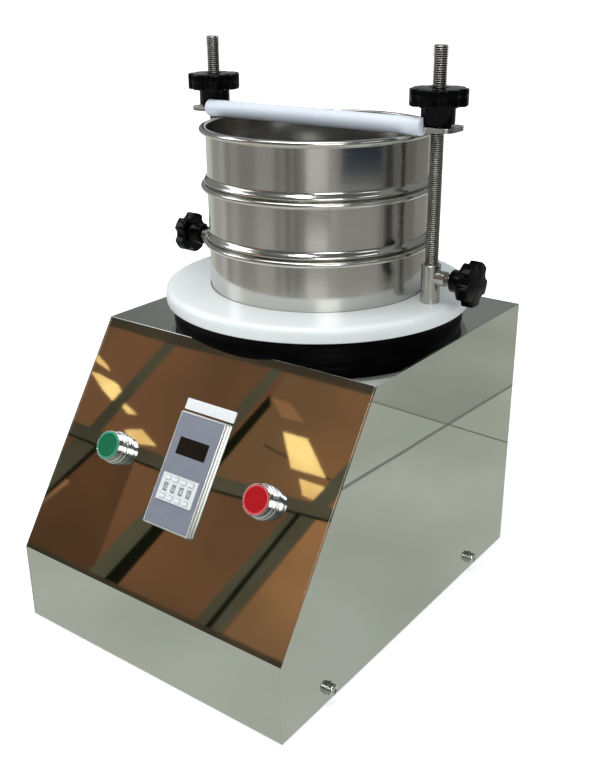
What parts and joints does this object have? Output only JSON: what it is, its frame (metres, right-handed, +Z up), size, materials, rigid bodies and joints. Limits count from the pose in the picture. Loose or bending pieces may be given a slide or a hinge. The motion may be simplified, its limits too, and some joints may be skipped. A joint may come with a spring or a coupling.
{
  "type": "vibrating sieve",
  "caption": "Bench-top sieve shaker: sloped stainless box with a sprung nylon table, a clamped stack of round test sieves over a pan, push buttons and a digital timer",
  "frame": {"origin": "on the floor under the middle of the whole outline, feet on Z = 0", "axes": "X across the front, +X to the right of someone facing the buttons; -Y is the front; +Z is up"},
  "size_m": [0.336, 0.404, 0.514],
  "materials": {
    "housing_steel": "polished stainless sheet, soft fine grain",
    "inner_steel": "plain galvanised sheet",
    "screw_steel": "bright zinc",
    "foot_rubber": "matt black rubber",
    "skirt_rubber": "smooth black rubber",
    "gland_black": "moulded nylon",
    "spring_steel": "drawn wire",
    "table_nylon": "milky turned nylon",
    "motor_iron": "painted grey casting",
    "shaft_steel": "ground steel",
    "sieve_steel": "spun and polished stainless",
    "mesh_steel": "woven wire",
    "rod_steel": "rolled thread, dull",
    "knob_black": "glossy moulded phenolic",
    "bar_nylon": "white turned nylon",
    "button_chrome": "plated bezel",
    "cap_green": "translucent green cap",
    "cap_red": "translucent red cap",
    "switch_grey": "moulded switch block",
    "timer_silver": "silver moulded frame",
    "timer_blue_grey": "smooth blue-grey face",
    "window_dark": "dark display window",
    "wheel_white": "white moulding",
    "tab_white": "white push tabs",
    "plate_white": "blank white plate"
  },
  "bodies": {
    "housing": {"wrap_panel": "housing_steel", "left_side_panel": "housing_steel", "right_side_panel": "housing_steel", "base_tray": "inner_steel", "side_screws": "screw_steel", "side_washers": "screw_steel", "rubber_feet": "foot_rubber", "cable_gland": "gland_black", "spring_deck": "inner_steel", "support_springs": "spring_steel", "rubber_skirt": "skirt_rubber", "name_plate": "plate_white", "start_button_body": "button_chrome", "stop_button_body": "button_chrome", "button_nuts": "screw_steel", "contact_blocks": "switch_grey", "timer_case": "switch_grey", "timer_bezel": "timer_silver", "timer_face": "timer_blue_grey", "timer_window": "window_dark", "thumbwheel_frame": "wheel_white"},
    "table": {"table_disc": "table_nylon", "motor_plate": "inner_steel", "motor_casing": "motor_iron", "motor_stator": "motor_iron", "motor_bearings": "shaft_steel", "table_bolts": "screw_steel", "left_rod_socket": "shaft_steel", "right_rod_socket": "shaft_steel"},
    "rotor": {"motor_shaft": "shaft_steel", "eccentric_weights": "motor_iron"},
    "tie_rods": {"left_tie_rod": "rod_steel", "right_tie_rod": "rod_steel"},
    "clamp": {"clamp_strip": "sieve_steel", "clamp_bar": "bar_nylon"},
    "left_nut": {"left_star_nut": "knob_black"},
    "right_nut": {"right_star_nut": "knob_black"},
    "left_stud": {"left_lock_stud": "shaft_steel"},
    "right_stud": {"right_lock_stud": "shaft_steel"},
    "left_knob": {"left_lock_knob": "knob_black"},
    "right_knob": {"right_lock_knob": "knob_black"},
    "receiver": {"receiver_pan": "sieve_steel"},
    "lower_sieve": {"lower_sieve_frame": "sieve_steel", "lower_sieve_mesh": "mesh_steel"},
    "top_sieve": {"top_sieve_frame": "sieve_steel", "top_sieve_mesh": "mesh_steel"},
    "start_cap": {"start_button_cap": "cap_green"},
    "stop_cap": {"stop_button_cap": "cap_red"},
    "digit_1": {"digit_wheel_1": "wheel_white"},
    "minus_1": {"minus_tab_1": "tab_white"},
    "plus_1": {"plus_tab_1": "tab_white"},
    "digit_2": {"digit_wheel_2": "wheel_white"},
    "minus_2": {"minus_tab_2": "tab_white"},
    "plus_2": {"plus_tab_2": "tab_white"},
    "digit_3": {"digit_wheel_3": "wheel_white"},
    "minus_3": {"minus_tab_3": "tab_white"},
    "plus_3": {"plus_tab_3": "tab_white"},
    "digit_4": {"digit_wheel_4": "wheel_white"},
    "minus_4": {"minus_tab_4": "tab_white"},
    "plus_4": {"plus_tab_4": "tab_white"}
  },
  "joints": [
    {"name": "table_bounce", "type": "slide", "parent": "housing", "child": "table", "axis": [0, 0, 1], "range_m": [-0.002, 0.002], "stiffness_N_per_m": 60000, "springref_m": 0.0028, "deforming": ["support_springs", "rubber_skirt"]},
    {"name": "motor_spin", "type": "hinge", "parent": "table", "child": "rotor", "pos_m": [0, 0.0565, 0.2], "axis": [0, 0, 1], "continuous": true},
    {"name": "rods_lift", "type": "slide", "parent": "table", "child": "tie_rods", "axis": [0, 0, 1], "range_m": [0, 0.028]},
    {"name": "clamp_lift", "type": "slide", "parent": "tie_rods", "child": "clamp", "axis": [0, 0, 1], "range_m": [0, 0.02975]},
    {"name": "right_nut_turn", "type": "hinge", "parent": "clamp", "child": "right_nut", "pos_m": [0.122, 0.0565, 0.4505], "axis": [0, 0, 1], "range_deg": [0, 6121]},
    {"name": "left_nut_turn", "type": "hinge", "parent": "clamp", "child": "left_nut", "pos_m": [-0.122, 0.0565, 0.4505], "axis": [0, 0, 1], "range_deg": [0, 6121]},
    {"name": "top_sieve_lift", "type": "slide", "parent": "table", "child": "top_sieve", "axis": [0, 0, 1], "range_m": [0, 0.0272]},
    {"name": "lower_sieve_lift", "type": "slide", "parent": "table", "child": "lower_sieve", "axis": [0, 0, 1], "range_m": [0, 0.0182]},
    {"name": "receiver_lift", "type": "slide", "parent": "table", "child": "receiver", "axis": [0, 0, 1], "range_m": [0, 0.0092]},
    {"name": "left_stud_travel", "type": "slide", "parent": "table", "child": "left_stud", "axis": [-1, 0, 0], "range_m": [0, 0.0061]},
    {"name": "left_knob_turn", "type": "hinge", "parent": "left_stud", "child": "left_knob", "pos_m": [-0.155, 0.0565, 0.321], "axis": [-1, 0, 0], "range_deg": [0, 1440]},
    {"name": "right_stud_travel", "type": "slide", "parent": "table", "child": "right_stud", "axis": [1, 0, 0], "range_m": [0, 0.0061]},
    {"name": "right_knob_turn", "type": "hinge", "parent": "right_stud", "child": "right_knob", "pos_m": [0.155, 0.0565, 0.321], "axis": [1, 0, 0], "range_deg": [0, 1440]},
    {"name": "start_press", "type": "slide", "parent": "housing", "child": "start_cap", "axis": [0, 0.828, -0.5607], "range_m": [0, 0.0035], "stiffness_N_per_m": 600, "springref_m": -0.002},
    {"name": "stop_press", "type": "slide", "parent": "housing", "child": "stop_cap", "axis": [0, 0.828, -0.5607], "range_m": [0, 0.0035], "stiffness_N_per_m": 600, "springref_m": -0.002},
    {"name": "digit_1_turn", "type": "hinge", "parent": "housing", "child": "digit_1", "pos_m": [-0.0121, -0.14454, 0.15654], "axis": [1, 0, 0], "continuous": true},
    {"name": "minus_1_press", "type": "slide", "parent": "housing", "child": "minus_1", "axis": [0, 0.828, -0.5607], "range_m": [0, 0.0012], "stiffness_N_per_m": 400, "springref_m": -0.001},
    {"name": "plus_1_press", "type": "slide", "parent": "housing", "child": "plus_1", "axis": [0, 0.828, -0.5607], "range_m": [0, 0.0012], "stiffness_N_per_m": 400, "springref_m": -0.001},
    {"name": "digit_2_turn", "type": "hinge", "parent": "housing", "child": "digit_2", "pos_m": [-0.0033, -0.14454, 0.15654], "axis": [1, 0, 0], "continuous": true},
    {"name": "minus_2_press", "type": "slide", "parent": "housing", "child": "minus_2", "axis": [0, 0.828, -0.5607], "range_m": [0, 0.0012], "stiffness_N_per_m": 400, "springref_m": -0.001},
    {"name": "plus_2_press", "type": "slide", "parent": "housing", "child": "plus_2", "axis": [0, 0.828, -0.5607], "range_m": [0, 0.0012], "stiffness_N_per_m": 400, "springref_m": -0.001},
    {"name": "digit_3_turn", "type": "hinge", "parent": "housing", "child": "digit_3", "pos_m": [0.0055, -0.14454, 0.15654], "axis": [1, 0, 0], "continuous": true},
    {"name": "minus_3_press", "type": "slide", "parent": "housing", "child": "minus_3", "axis": [0, 0.828, -0.5607], "range_m": [0, 0.0012], "stiffness_N_per_m": 400, "springref_m": -0.001},
    {"name": "plus_3_press", "type": "slide", "parent": "housing", "child": "plus_3", "axis": [0, 0.828, -0.5607], "range_m": [0, 0.0012], "stiffness_N_per_m": 400, "springref_m": -0.001},
    {"name": "digit_4_turn", "type": "hinge", "parent": "housing", "child": "digit_4", "pos_m": [0.0143, -0.14454, 0.15654], "axis": [1, 0, 0], "continuous": true},
    {"name": "minus_4_press", "type": "slide", "parent": "housing", "child": "minus_4", "axis": [0, 0.828, -0.5607], "range_m": [0, 0.0012], "stiffness_N_per_m": 400, "springref_m": -0.001},
    {"name": "plus_4_press", "type": "slide", "parent": "housing", "child": "plus_4", "axis": [0, 0.828, -0.5607], "range_m": [0, 0.0012], "stiffness_N_per_m": 400, "springref_m": -0.001}
  ],
  "couplings": [
    {"joint": "right_nut_turn", "follows": "clamp_lift", "rad_per_m": 3590.4},
    {"joint": "left_nut_turn", "follows": "clamp_lift", "rad_per_m": 3590.4},
    {"joint": "top_sieve_lift", "follows": "clamp_lift", "ratio": 0.9},
    {"joint": "lower_sieve_lift", "follows": "clamp_lift", "ratio": 0.6},
    {"joint": "receiver_lift", "follows": "clamp_lift", "ratio": 0.3},
    {"joint": "left_stud_travel", "follows": "left_knob_turn", "m_per_rad": 0.00023873},
    {"joint": "right_stud_travel", "follows": "right_knob_turn", "m_per_rad": 0.00023873}
  ]
}
